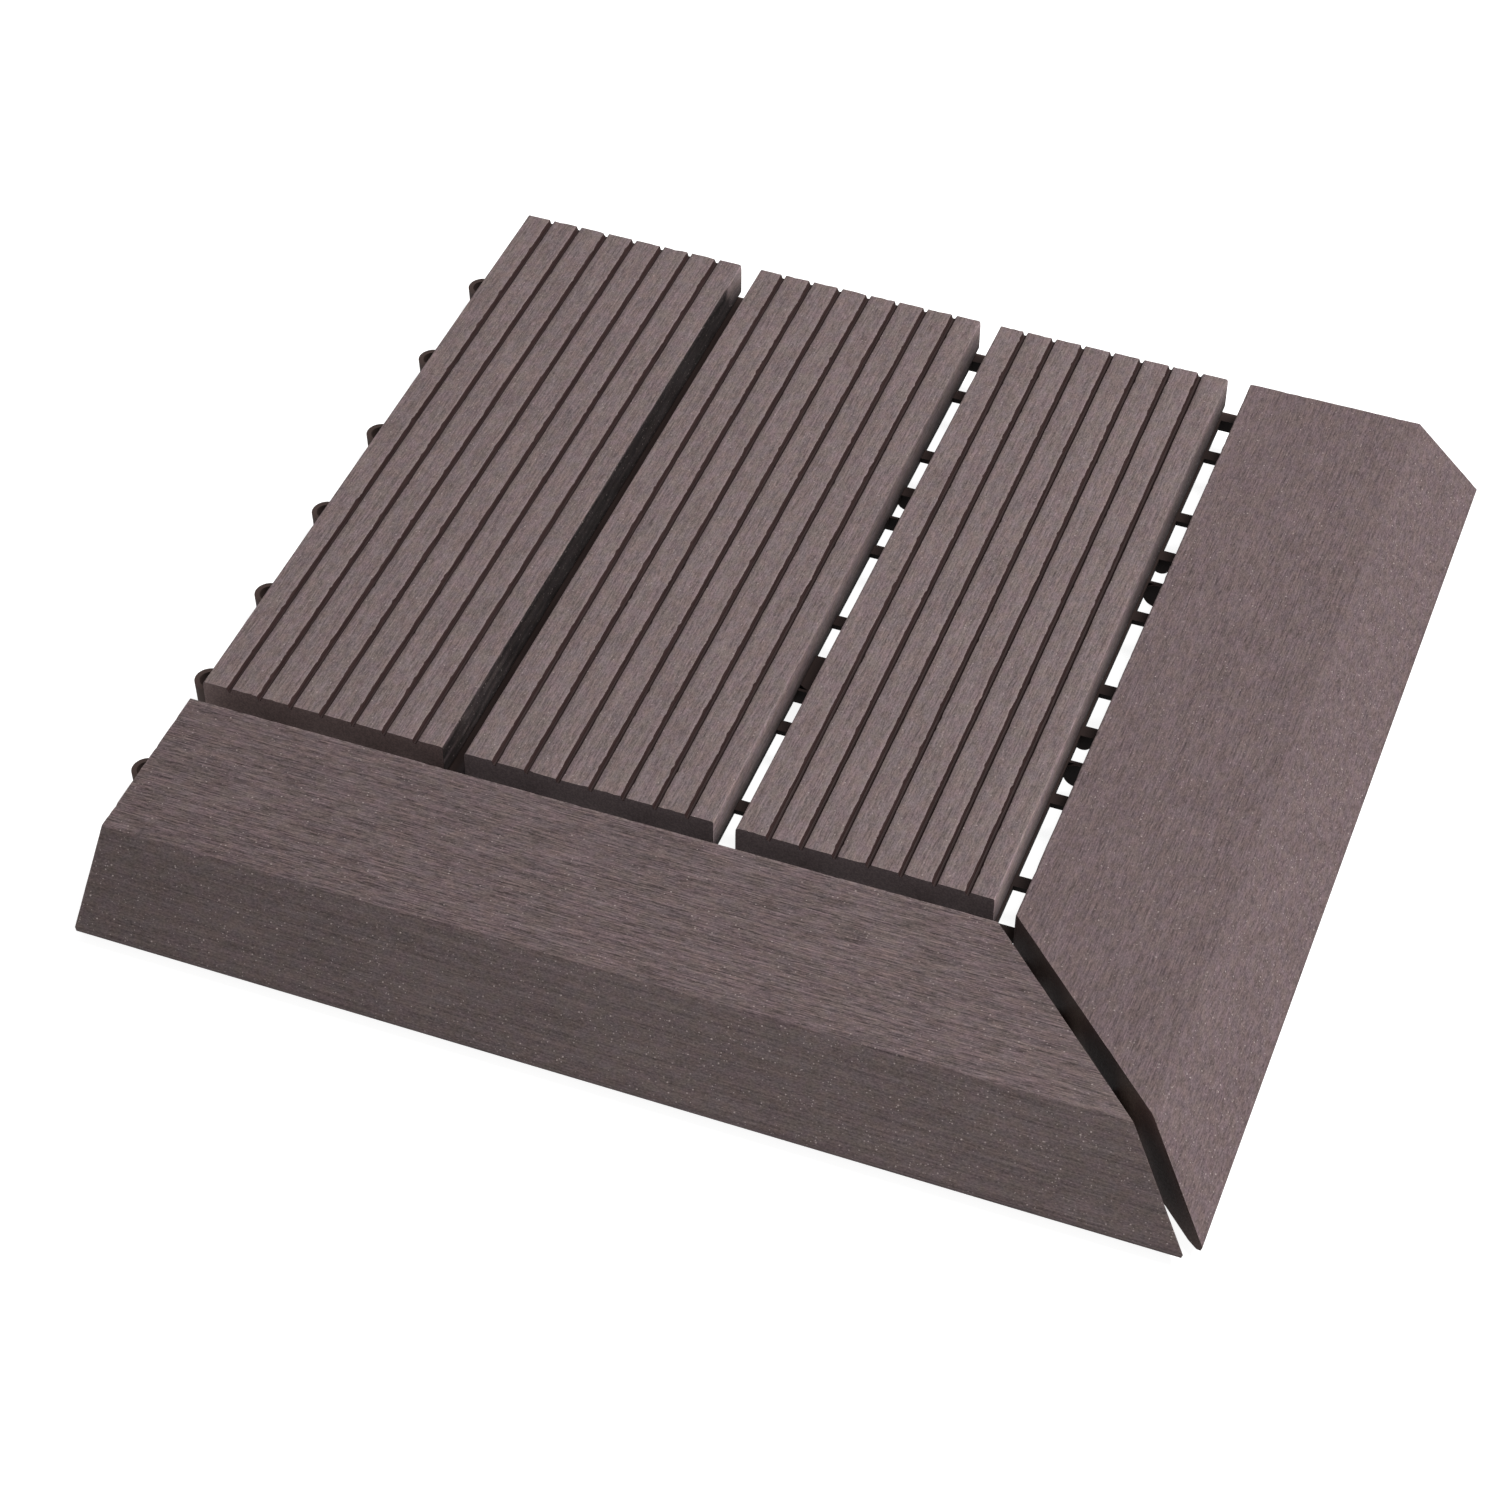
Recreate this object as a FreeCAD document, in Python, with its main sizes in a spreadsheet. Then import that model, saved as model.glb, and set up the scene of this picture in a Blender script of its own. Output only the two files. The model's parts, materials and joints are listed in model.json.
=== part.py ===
import FreeCAD, Part
import os
import Sketcher
import PartDesign

# Corner deck tile: three grooved wood-plastic slats and two bevelled, mitred
# edge boards screwed from beneath to one moulded lattice base with connector
# loops on its left and back sides.  Millimetres, +Z up, ground at z = 0.
#
# Drawing coordinates used for the sizes: x runs right from the slats' left
# edge, y runs away from the viewer with 0 at the slats' back ends, so the tile
# lies in y < 0.  Every piece is then moved by (origin_x, origin_y) so that the
# frame's origin is the middle of the whole outline, on the ground.

V = FreeCAD.Vector
doc = FreeCAD.newDocument("deck_tile")

# ---------------------------------------------------------------- sizes
sheet = doc.addObject("Spreadsheet::Sheet", "Sizes")
SIZES = [
    # whole tile
    ("tile_side", 300.0), ("tile_height", 23.5), ("origin_x", -144.35), ("origin_y", 144.35),
    # slats
    ("slat_width", 70.3), ("slat_pitch", 76.4), ("slat_length", 223.1), ("slat_thick", 12.5),
    ("slat_top_round", 0.7), ("slat_low_round", 2.8),
    ("groove_pitch", 9.1), ("groove_shift", 0.3), ("groove_depth", 1.35),
    ("groove_left_run", 0.6), ("groove_floor", 0.6), ("groove_right_run", 0.8),
    # edge boards
    ("board_start", 229.6), ("board_flat", 50.8), ("board_wide", 70.4), ("board_drop", 19.0),
    ("board_low", 0.2), ("board_foot_out", 66.0), ("board_foot_in", 55.5), ("board_under", 45.0), ("crease_round", 1.0),
    ("board_edge_round", 0.7), ("board_proud", 0.3), ("mitre_half", 3.75),
    # base: levels and widths
    ("base_side", 273.6), ("base_top", 11.0), ("strap_wide", 4.0), ("strap_thick", 1.6),
    ("web_wide", 1.8), ("web_low", 7.1), ("thin_wide", 0.9), ("thin_low", 6.2),
    # base: rib lines, the same from the left and from the back
    ("rib_a", 2.0), ("rib_b", 20.6), ("rib_c", 50.1), ("rib_d", 67.7), ("rib_e", 94.7),
    ("rib_f", 126.4), ("rib_g", 143.9), ("rib_k", 171.2), ("rib_l", 203.4), ("rib_n", 221.2),
    ("rib_o", 247.6), ("rib_p", 268.0),
    ("thin_a", 79.7), ("thin_b", 156.3), ("thin_c", 233.5),
    ("channel_margin", 0.8), ("channel_margin_2", 1.9),
    # feet, screw seats
    ("foot_radius", 5.0), ("foot_bore", 3.5), ("screw_clear", 2.1),
    # round tabs and the middle hub
    ("tab_radius", 2.6), ("tab_thick", 2.0), ("drop_radius", 4.0), ("hub_radius", 6.0), ("hub_low", 6.5),
    # connector loops
    ("loop_first", 20.9), ("loop_pitch", 37.4), ("loop_centre", 6.9), ("loop_radius_top", 4.4), ("loop_radius_low", 4.1),
    ("loop_bore", 2.95), ("loop_low", 0.8), ("loop_top", 8.5), ("neck_wide", 6.4), ("loop_back_wide", 18.0), ("loop_back_thick", 1.8),
    # bar that closes the first gap from beneath
    ("gap_bar_left", 68.4), ("gap_bar_wide", 3.5),
    # screws
    ("head_radius", 3.2), ("head_tall", 2.2), ("shank_radius", 1.7), ("screw_long", 13.0),
    ("point_long", 2.6), ("pilot_deep", 9.6), ("recess_long", 3.8), ("recess_wide", 0.9), ("recess_deep", 1.3),
]
for row, (alias, value) in enumerate(SIZES, start=1):
    sheet.set("A%d" % row, alias)
    sheet.set("B%d" % row, str(value))
    sheet.setAlias("B%d" % row, alias)
doc.recompute()


def size(alias):
    """The sheet's number behind an alias."""
    return float(sheet.get(alias))


def put(obj, label):
    """Name a sub-part and move it from the drawing frame to the tile's frame."""
    obj.Label = label
    obj.setExpression("Placement.Base.x", "Sizes.origin_x")
    obj.setExpression("Placement.Base.y", "Sizes.origin_y")
    return obj


def plane(body, role):
    return [f for f in body.Origin.OriginFeatures if f.Role == role][0]


def sketch_on(body, role, name, offset=None):
    sk = body.newObject("Sketcher::SketchObject", name)
    sk.AttachmentSupport = (plane(body, role), [""])
    sk.MapMode = "FlatFace"
    if offset is not None:
        sk.AttachmentOffset = FreeCAD.Placement(V(0, 0, offset), FreeCAD.Rotation())
    return sk


def outline(sk, pts):
    """Closed outline of straight runs; a point may carry a corner radius."""
    n = len(pts)
    ends = []
    for i in range(n):
        p = V(pts[i][0], pts[i][1], 0)
        r = pts[i][2] if len(pts[i]) > 2 else 0.0
        a = V(pts[i - 1][0], pts[i - 1][1], 0)
        b = V(pts[(i + 1) % n][0], pts[(i + 1) % n][1], 0)
        if r <= 0:
            ends.append((p, p, None))
            continue
        u = (a - p).normalize()
        w = (b - p).normalize()
        half = u.getAngle(w) / 2.0
        import math
        run = r / math.tan(half)
        mid = (u + w).normalize()
        centre = p + mid * (r / math.sin(half))
        ends.append((p + u * run, p + w * run, centre - mid * r))
    geo = []
    for i in range(n):
        start, stop, mid = ends[i]
        if mid is not None:
            geo.append(Part.Arc(start, mid, stop))
        nxt = ends[(i + 1) % n][0]
        if (nxt - stop).Length > 1e-6:
            geo.append(Part.LineSegment(stop, nxt))
    sk.addGeometry(geo, False)


# ---------------------------------------------------------------- slats
SCREW_ROWS = ["rib_b", "rib_f", "rib_l"]


def slat(label, index, rib_pair):
    """One extruded board: grooved top, eased long edges, blind pilot holes beneath."""
    body = doc.addObject("PartDesign::Body", label + "_body")
    left = index * size("slat_pitch")
    low = size("base_top")
    high = size("tile_height")
    wide = size("slat_width")
    sk = sketch_on(body, "XZ_Plane", label + "_section")
    pts = [(left, low, size("slat_low_round")), (left + wide, low, size("slat_low_round")),
           (left + wide, high, size("slat_top_round"))]
    for k in range(3, -4, -1):
        mid = left + wide / 2.0 + size("groove_shift") + k * size("groove_pitch")
        span = size("groove_left_run") + size("groove_floor") + size("groove_right_run")
        x0 = mid - span / 2.0
        pts += [(x0 + span, high, 0.3),
                (x0 + size("groove_left_run") + size("groove_floor"), high - size("groove_depth")),
                (x0 + size("groove_left_run"), high - size("groove_depth")),
                (x0, high, 0.25)]
    pts.append((left, high, size("slat_top_round")))
    outline(sk, pts)
    pad = body.newObject("PartDesign::Pad", label + "_length")
    pad.Profile = sk
    pad.setExpression("Length", "Sizes.slat_length")
    pad.Reversed = False
    doc.recompute()
    if pad.Shape.BoundBox.YMax > 1.0:
        pad.Reversed = True
        doc.recompute()
    holes = sketch_on(body, "XY_Plane", label + "_pilots", low)
    for rib in rib_pair:
        for row in SCREW_ROWS:
            holes.addGeometry(Part.Circle(V(size(rib), -size(row), 0), V(0, 0, 1), size("shank_radius")), False)
    cut = body.newObject("PartDesign::Pocket", label + "_pilot_holes")
    cut.Profile = holes
    cut.setExpression("Length", "Sizes.pilot_deep")
    before = pad.Shape.Volume
    cut.Reversed = True
    doc.recompute()
    if before - cut.Shape.Volume < 1.0:
        cut.Reversed = False
        doc.recompute()
    return put(body, label)


slats = [slat("left_slat", 0, ("rib_b", "rib_c")),
         slat("middle_slat", 1, ("rib_e", "rib_f")),
         slat("right_slat", 2, ("rib_k", "rib_l"))]


# ---------------------------------------------------------------- edge boards
def board_section(sign, start):
    """Section of an edge board as (across, up) points.  `across` grows outward
    from the inner edge; sign and start turn it into a drawing coordinate."""
    low = size("board_low")
    top = size("tile_height")
    under = size("base_top")
    wide = size("board_wide")
    tip = top - size("board_drop")
    c_out = size("board_foot_out")
    pts = [(0.0, under, 0.6), (0.0, top, size("board_edge_round")),
           (size("board_flat"), top, size("crease_round")), (wide, tip),
           (wide - 0.45, tip - 1.9), (wide - 1.7, tip - 3.35), (c_out, low),
           (size("board_foot_in"), low, 0.8), (size("board_under"), under, 1.5)]
    out = []
    for p in pts:
        q = (start + sign * p[0], p[1])
        out.append(q + tuple(p[2:]))
    return out


def board(label, along_x, screws):
    """A bevelled edge board: padded section, 45 degree mitre, pilot holes."""
    body = doc.addObject("PartDesign::Body", label + "_body")
    start = size("board_start")
    proud = size("board_proud")
    side = size("tile_side")
    half = size("mitre_half")
    if along_x:
        sk = sketch_on(body, "YZ_Plane", label + "_section", -proud)
        outline(sk, board_section(-1.0, -start))
    else:
        sk = sketch_on(body, "XZ_Plane", label + "_section", -proud)
        outline(sk, board_section(1.0, start))
    pad = body.newObject("PartDesign::Pad", label + "_length")
    pad.Profile = sk
    pad.setExpression("Length", "Sizes.tile_side + Sizes.board_proud")
    doc.recompute()
    box = pad.Shape.BoundBox
    if (along_x and box.XMax < side - 1) or (not along_x and box.YMin > -side + 1):
        pad.Reversed = True
        doc.recompute()
    # mitre: everything past the slanted line goes
    mitre = sketch_on(body, "XY_Plane", label + "_mitre", -1.0)
    big = 2 * side
    if along_x:      # keep x + y <= -half
        outline(mitre, [(-half + side + 40.0, -side - 40.0), (start - 60.0, -start + 60.0 - half),
                        (big, -start + 60.0 - half), (big, -side - 40.0)])
    else:            # keep x + y >= +half
        outline(mitre, [(side + 40.0, half - side - 40.0), (start - 60.0, half - start + 60.0),
                        (start - 60.0, -big), (side + 40.0, -big)])
    cut = body.newObject("PartDesign::Pocket", label + "_mitre_cut")
    cut.Profile = mitre
    cut.Type = "Length"
    cut.setExpression("Length", "Sizes.tile_height + 4")
    before = pad.Shape.Volume
    cut.Reversed = True
    doc.recompute()
    if before - cut.Shape.Volume < 10.0:
        cut.Reversed = False
        doc.recompute()
    holes = sketch_on(body, "XY_Plane", label + "_pilots", size("base_top"))
    for x, y in screws:
        holes.addGeometry(Part.Circle(V(x, y, 0), V(0, 0, 1), size("shank_radius")), False)
    pil = body.newObject("PartDesign::Pocket", label + "_pilot_holes")
    pil.Profile = holes
    pil.setExpression("Length", "Sizes.pilot_deep")
    before = cut.Shape.Volume
    pil.Reversed = True
    doc.recompute()
    if before - pil.Shape.Volume < 1.0:
        pil.Reversed = False
        doc.recompute()
    return put(body, label)


RIGHT_SCREWS = [(size(c), -size(r)) for c in ("rib_o", "rib_p") for r in SCREW_ROWS] + [(size("rib_p"), -size("rib_o"))]
FRONT_SCREWS = [(size(r), -size(c)) for c in ("rib_o", "rib_p") for r in SCREW_ROWS] + [(size("rib_o"), -size("rib_p"))]
front = board("front_edge_board", True, FRONT_SCREWS)
right = board("right_edge_board", False, RIGHT_SCREWS)


# ---------------------------------------------------------------- base lattice
def block(name, x, y, z, dx, dy, dz):
    """Box whose corner and sides are written as expressions of the sheet."""
    b = doc.addObject("Part::Box", name)
    b.setExpression("Placement.Base.x", x)
    b.setExpression("Placement.Base.y", y)
    b.setExpression("Placement.Base.z", z)
    b.setExpression("Length", dx)
    b.setExpression("Width", dy)
    b.setExpression("Height", dz)
    return b


def post(name, x, y, z, r, tall):
    c = doc.addObject("Part::Cylinder", name)
    c.setExpression("Placement.Base.x", x)
    c.setExpression("Placement.Base.y", y)
    c.setExpression("Placement.Base.z", z)
    c.setExpression("Radius", r)
    c.setExpression("Height", tall)
    return c


def disc(name, x, y_front, z, r, thick):
    """Round tab standing across the gap: a short cylinder along y."""
    c = doc.addObject("Part::Cylinder", name)
    c.Placement = FreeCAD.Placement(V(0, 0, 0), FreeCAD.Rotation(V(1, 0, 0), -90))
    c.setExpression("Placement.Base.x", x)
    c.setExpression("Placement.Base.y", y_front)
    c.setExpression("Placement.Base.z", z)
    c.setExpression("Radius", r)
    c.setExpression("Height", thick)
    return c


S = "Sizes."
RIBS = ["rib_b", "rib_c", "rib_d", "rib_e", "rib_f", "rib_g", "rib_k", "rib_l", "rib_n", "rib_o", "rib_p"]
THIN = ["thin_a", "thin_b", "thin_c"]
lattice = []
for r in RIBS:
    s = S + r
    # flat straps on top, narrower webs beneath them, both ways
    lattice.append(block("strap_x_" + r, "0", "-(%s) - Sizes.strap_wide / 2" % s, "Sizes.base_top - Sizes.strap_thick",
                         "Sizes.base_side", "Sizes.strap_wide", "Sizes.strap_thick"))
    lattice.append(block("web_x_" + r, "0", "-(%s) - Sizes.web_wide / 2" % s, "Sizes.web_low",
                         "Sizes.base_side", "Sizes.web_wide", "Sizes.base_top - Sizes.web_low"))
    lattice.append(block("strap_y_" + r, "%s - Sizes.strap_wide / 2" % s, "-Sizes.base_side", "Sizes.base_top - Sizes.strap_thick",
                         "Sizes.strap_wide", "Sizes.base_side", "Sizes.strap_thick"))
    lattice.append(block("web_y_" + r, "%s - Sizes.web_wide / 2" % s, "-Sizes.base_side", "Sizes.web_low",
                         "Sizes.web_wide", "Sizes.base_side", "Sizes.base_top - Sizes.web_low"))
grid = doc.addObject("Part::MultiFuse", "grid")
grid.Shapes = lattice
grid.Refine = False

# under each open gap the webs are cut away and only the straps cross it; under the
# second gap the cut ends flush with the long web beside it
channels = []
for i in range(3):
    left = "Sizes.slat_pitch * %d + Sizes.slat_width - Sizes.channel_margin" % i
    if i == 1:
        left = "Sizes.slat_pitch + Sizes.slat_width - Sizes.channel_margin_2"
        wide = "Sizes.slat_pitch - Sizes.slat_width + Sizes.channel_margin_2 + Sizes.channel_margin"
    elif i == 0:
        wide = "Sizes.slat_pitch - Sizes.slat_width + 2 * Sizes.channel_margin"
    else:
        wide = "Sizes.board_start - 2 * Sizes.slat_pitch - Sizes.slat_width + 2 * Sizes.channel_margin"
    channels.append(block("gap_channel_%d" % (i + 1), left, "-Sizes.base_side", "Sizes.web_low - 1",
                          wide, "Sizes.base_side", "Sizes.base_top - Sizes.strap_thick - Sizes.web_low + 1"))
channels.append(block("gap_channel_4", "0", "-Sizes.board_start - Sizes.channel_margin", "Sizes.web_low - 1",
                      "Sizes.base_side", "Sizes.board_start - Sizes.slat_length + 2 * Sizes.channel_margin",
                      "Sizes.base_top - Sizes.strap_thick - Sizes.web_low + 1"))
channel_set = doc.addObject("Part::MultiFuse", "channel_set")
channel_set.Shapes = channels
open_grid = doc.addObject("Part::Cut", "open_grid")
open_grid.Base = grid
open_grid.Tool = channel_set

more = [open_grid]
# rim: a square ring of solid bar
for tag, x, y, dx, dy in (
        ("back", "0", "-Sizes.strap_wide", "Sizes.base_side", "Sizes.strap_wide"),
        ("front", "0", "-Sizes.base_side", "Sizes.base_side", "Sizes.strap_wide"),
        ("left", "0", "-Sizes.base_side", "Sizes.strap_wide", "Sizes.base_side"),
        ("right", "Sizes.base_side - Sizes.strap_wide", "-Sizes.base_side", "Sizes.strap_wide", "Sizes.base_side")):
    more.append(block("rim_" + tag, x, y, "Sizes.web_low", dx, dy, "Sizes.base_top - Sizes.web_low"))
# thin cross walls just in front of each gap crossing
for r in THIN:
    s = S + r
    more.append(block("thin_x_" + r, "0", "-(%s) - Sizes.thin_wide / 2" % s, "Sizes.thin_low",
                      "Sizes.base_side", "Sizes.thin_wide", "Sizes.base_top - Sizes.thin_low"))
    more.append(block("thin_y_" + r, "%s - Sizes.thin_wide / 2" % s, "-Sizes.base_side", "Sizes.thin_low",
                      "Sizes.thin_wide", "Sizes.base_side", "Sizes.base_top - Sizes.thin_low"))

# screw bosses and plain feet: posts to the ground, bored from beneath
BOSSES = [(c, r) for c in ("rib_b", "rib_c", "rib_e", "rib_f", "rib_k", "rib_l") for r in SCREW_ROWS]
BOSSES += [(c, r) for c in ("rib_o", "rib_p") for r in SCREW_ROWS] + [("rib_p", "rib_o")]
BOSSES += [(r, c) for c in ("rib_o", "rib_p") for r in SCREW_ROWS] + [("rib_o", "rib_p")]
FEET = [(c, r) for c in ("rib_b", "rib_c", "rib_e", "rib_f", "rib_k", "rib_l", "rib_o") for r in ("rib_d", "rib_k")]
FEET += [("rib_c", "rib_o"), ("rib_e", "rib_o"), ("rib_k", "rib_o"), ("rib_p", "rib_p")]
bores = []
for i, (c, r) in enumerate(BOSSES + FEET):
    x = S + c
    y = "-(%s)" % (S + r)
    more.append(post("foot_%02d" % i, x, y, "0", "Sizes.foot_radius", "Sizes.base_top"))
    bores.append(post("foot_bore_%02d" % i, x, y, "-1", "Sizes.foot_bore", "Sizes.web_low + 1"))
for i, (c, r) in enumerate(BOSSES):
    bores.append(post("screw_hole_%02d" % i, S + c, "-(%s)" % (S + r), "0", "Sizes.screw_clear", "Sizes.base_top + 1"))

# round tabs seen in the gaps, and the hub in the middle of the lattice
gap_mid = ["Sizes.slat_pitch * %d - (Sizes.slat_pitch - Sizes.slat_width) / 2 - 2.3" % k for k in (1, 2, 3)]
for i, x in enumerate(gap_mid):
    for r in ("rib_d", "rib_g", "rib_n"):
        more.append(disc("tab_%d_%s" % (i, r), x, "-(%s) - Sizes.strap_wide / 2" % (S + r),
                         "Sizes.base_top - Sizes.tab_radius", "Sizes.tab_radius", "Sizes.tab_thick"))
for i, x in ((1, "Sizes.slat_pitch * 2 - 0.9"), (2, "Sizes.slat_pitch * 3 - 3.2")):
    for r in ("thin_a", "thin_b"):
        more.append(disc("drop_%d_%s" % (i, r), x, "-(%s) - 1.1" % (S + r),
                         "Sizes.base_top - Sizes.drop_radius", "Sizes.drop_radius", "1.5"))
more.append(post("hub", "Sizes.slat_pitch * 2 - (Sizes.slat_pitch - Sizes.slat_width) / 2",
                 "-Sizes.slat_pitch * 2 + (Sizes.slat_pitch - Sizes.slat_width) / 2",
                 "Sizes.hub_low", "Sizes.hub_radius", "Sizes.base_top - Sizes.hub_low"))

# bar along the first gap: nothing of the ground shows through there
more.append(block("gap_bar", "Sizes.gap_bar_left", "-Sizes.base_side", "Sizes.web_low",
                  "Sizes.gap_bar_wide", "Sizes.base_side", "Sizes.base_top - Sizes.web_low"))
# small plate at the front end of the first gap
more.append(block("gap_plate", "Sizes.gap_bar_left + 1", "-Sizes.rib_n", "Sizes.base_top - Sizes.strap_thick",
                  "10", "12.5", "Sizes.strap_thick"))

# connector loops: a round, slightly drafted eye on a short neck, backed by a piece of wall
for k in range(7):
    at = "(Sizes.loop_first + Sizes.loop_pitch * %d)" % k
    for side in ("left", "back"):
        eye = doc.addObject("Part::Cone", "loop_%s_%d" % (side, k))
        eye.setExpression("Radius1", "Sizes.loop_radius_low")
        eye.setExpression("Radius2", "Sizes.loop_radius_top")
        eye.setExpression("Height", "Sizes.loop_top - Sizes.loop_low")
        eye.setExpression("Placement.Base.z", "Sizes.loop_low")
        if side == "left":
            cx, cy = "-Sizes.loop_centre", "-%s" % at
            neck = ("-Sizes.loop_centre", "-%s - Sizes.neck_wide / 2" % at, "Sizes.loop_centre + Sizes.loop_back_thick", "Sizes.neck_wide")
            wall = ("0", "-%s - Sizes.loop_back_wide / 2" % at, "Sizes.loop_back_thick", "Sizes.loop_back_wide")
        else:
            cx, cy = at, "Sizes.loop_centre"
            neck = ("%s - Sizes.neck_wide / 2" % at, "-Sizes.loop_back_thick", "Sizes.neck_wide", "Sizes.loop_centre + Sizes.loop_back_thick")
            wall = ("%s - Sizes.loop_back_wide / 2" % at, "-Sizes.loop_back_thick", "Sizes.loop_back_wide", "Sizes.loop_back_thick")
        eye.setExpression("Placement.Base.x", cx)
        eye.setExpression("Placement.Base.y", cy)
        more.append(eye)
        more.append(block("neck_%s_%d" % (side, k), neck[0], neck[1], "Sizes.loop_low", neck[2], neck[3], "Sizes.loop_top - Sizes.loop_low"))
        more.append(block("wall_%s_%d" % (side, k), wall[0], wall[1], "Sizes.loop_low", wall[2], wall[3], "Sizes.base_top - Sizes.loop_low"))
        bores.append(post("loop_bore_%s_%d" % (side, k), cx, cy, "0", "Sizes.loop_bore", "Sizes.base_top + 1"))

solid = doc.addObject("Part::MultiFuse", "base_solid")
solid.Shapes = more
hole_set = doc.addObject("Part::MultiFuse", "hole_set")
hole_set.Shapes = bores
base = doc.addObject("Part::Cut", "base_grid_cut")
base.Base = solid
base.Tool = hole_set
base.Refine = True
put(base, "base_grid")
doc.recompute()


# ---------------------------------------------------------------- screws
# one pan-head screw, head down, its seat at z = 0, with a cross recess
screw = doc.addObject("PartDesign::Body", "screw_pattern")
sk = sketch_on(screw, "XZ_Plane", "screw_section")
hr, ht, sr = size("head_radius"), size("head_tall"), size("shank_radius")
ln, pt = size("screw_long"), size("point_long")
outline(sk, [(0, -ht), (hr - 1.0, -ht), (hr - 0.25, -ht + 0.7), (hr, -ht + 1.5), (hr, 0), (sr, 0), (sr, ln - pt), (0.3, ln), (0, ln)])
rev = screw.newObject("PartDesign::Revolution", "screw_turned")
rev.Profile = sk
rev.ReferenceAxis = (sk, ["V_Axis"])
rev.Angle = 360
doc.recompute()
rs = sketch_on(screw, "XY_Plane", "screw_recess", -ht)
a, b = size("recess_long") / 2.0, size("recess_wide") / 2.0
outline(rs, [(-a, -b), (-b, -b), (-b, -a), (b, -a), (b, -b), (a, -b), (a, b), (b, b), (b, a), (-b, a), (-b, b), (-a, b)])
rp = screw.newObject("PartDesign::Pocket", "screw_recess_cut")
rp.Profile = rs
rp.setExpression("Length", "Sizes.recess_deep")
rp.Reversed = True
doc.recompute()
if rev.Shape.Volume - rp.Shape.Volume < 0.5:
    rp.Reversed = False
    doc.recompute()


def screw_set(label, places):
    """The same screw at each seat of one board, all driven from beneath."""
    g = doc.addObject("Part::Feature", label + "_set")
    seat = size("web_low")
    shapes = []
    for n, (x, y) in enumerate(places):
        s = screw.Shape.copy()
        s.rotate(V(0, 0, 0), V(0, 0, 1), (n * 37.0) % 90.0)
        s.translate(V(x, y, seat))
        shapes.append(s)
    g.Shape = Part.makeCompound(shapes)
    g.Placement = FreeCAD.Placement(V(size("origin_x"), size("origin_y"), 0), FreeCAD.Rotation())
    g.Label = label
    return g


screws = [screw_set("left_slat_screws", [(size(c), -size(r)) for c in ("rib_b", "rib_c") for r in SCREW_ROWS]),
          screw_set("middle_slat_screws", [(size(c), -size(r)) for c in ("rib_e", "rib_f") for r in SCREW_ROWS]),
          screw_set("right_slat_screws", [(size(c), -size(r)) for c in ("rib_k", "rib_l") for r in SCREW_ROWS]),
          screw_set("front_board_screws", FRONT_SCREWS),
          screw_set("right_board_screws", RIGHT_SCREWS)]
doc.recompute()

# ---------------------------------------------------------------- check and write
subparts = [base] + slats + [front, right] + screws
for obj in doc.Objects:
    bad = [w for w in obj.State if w in ("Invalid", "Error")]
    if bad:
        raise RuntimeError("%s did not compute: %s" % (obj.Label, bad))
want = {"base_grid": 1, "left_slat": 1, "middle_slat": 1, "right_slat": 1, "front_edge_board": 1, "right_edge_board": 1,
        "left_slat_screws": 6, "middle_slat_screws": 6, "right_slat_screws": 6, "front_board_screws": 7, "right_board_screws": 7}
for obj in subparts:
    shape = obj.Shape
    if shape.isNull() or not shape.isValid():
        raise RuntimeError("%s has no valid shape" % obj.Label)
    if len(shape.Solids) != want[obj.Label]:
        raise RuntimeError("%s has %d solids" % (obj.Label, len(shape.Solids)))
os.makedirs("parts", exist_ok=True)
for obj in subparts:
    obj.Shape.exportStep("parts/%s.step" % obj.Label)
    bb = obj.Shape.BoundBox
    print("%-22s solids %2d  volume %9.1f  x %.2f..%.2f  y %.2f..%.2f  z %.2f..%.2f" % (
        obj.Label, len(obj.Shape.Solids), obj.Shape.Volume, bb.XMin, bb.XMax, bb.YMin, bb.YMax, bb.ZMin, bb.ZMax))
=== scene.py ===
import json
import math

import bpy
import numpy as np
from mathutils import Matrix, Vector
from mathutils.geometry import delaunay_2d_cdt

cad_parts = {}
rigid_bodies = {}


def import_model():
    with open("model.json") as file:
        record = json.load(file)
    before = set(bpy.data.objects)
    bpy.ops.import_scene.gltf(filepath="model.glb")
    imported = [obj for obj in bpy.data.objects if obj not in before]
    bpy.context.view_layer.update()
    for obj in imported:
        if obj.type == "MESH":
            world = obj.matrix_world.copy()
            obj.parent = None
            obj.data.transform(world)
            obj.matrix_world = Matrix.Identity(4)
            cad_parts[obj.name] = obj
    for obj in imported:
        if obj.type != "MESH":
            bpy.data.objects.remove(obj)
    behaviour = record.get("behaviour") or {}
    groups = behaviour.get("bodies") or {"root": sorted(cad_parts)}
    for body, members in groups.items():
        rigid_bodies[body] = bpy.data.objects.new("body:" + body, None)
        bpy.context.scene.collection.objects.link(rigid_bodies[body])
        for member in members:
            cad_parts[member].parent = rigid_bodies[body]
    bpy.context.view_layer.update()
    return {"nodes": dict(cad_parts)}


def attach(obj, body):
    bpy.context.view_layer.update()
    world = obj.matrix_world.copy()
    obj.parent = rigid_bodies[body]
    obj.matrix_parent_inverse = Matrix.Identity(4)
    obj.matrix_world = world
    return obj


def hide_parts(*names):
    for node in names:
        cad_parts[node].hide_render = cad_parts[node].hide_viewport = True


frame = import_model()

# All lengths below are in millimetres and are turned into metres when a mesh is made.
# Drawing coordinates: x to the right from the slats' left edge, y away from the viewer
# with 0 at the slats' back ends.  (OX, OY) moves them to the frame.
OX, OY = -144.35, 144.35
TOP = 23.5
UNDER = 11.0
SLAT_W, SLAT_P, SLAT_L = 70.3, 76.4, 223.1
START = 229.6
MITRE = 3.75
PILOT_R, PILOT_D = 1.7, 9.6


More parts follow.
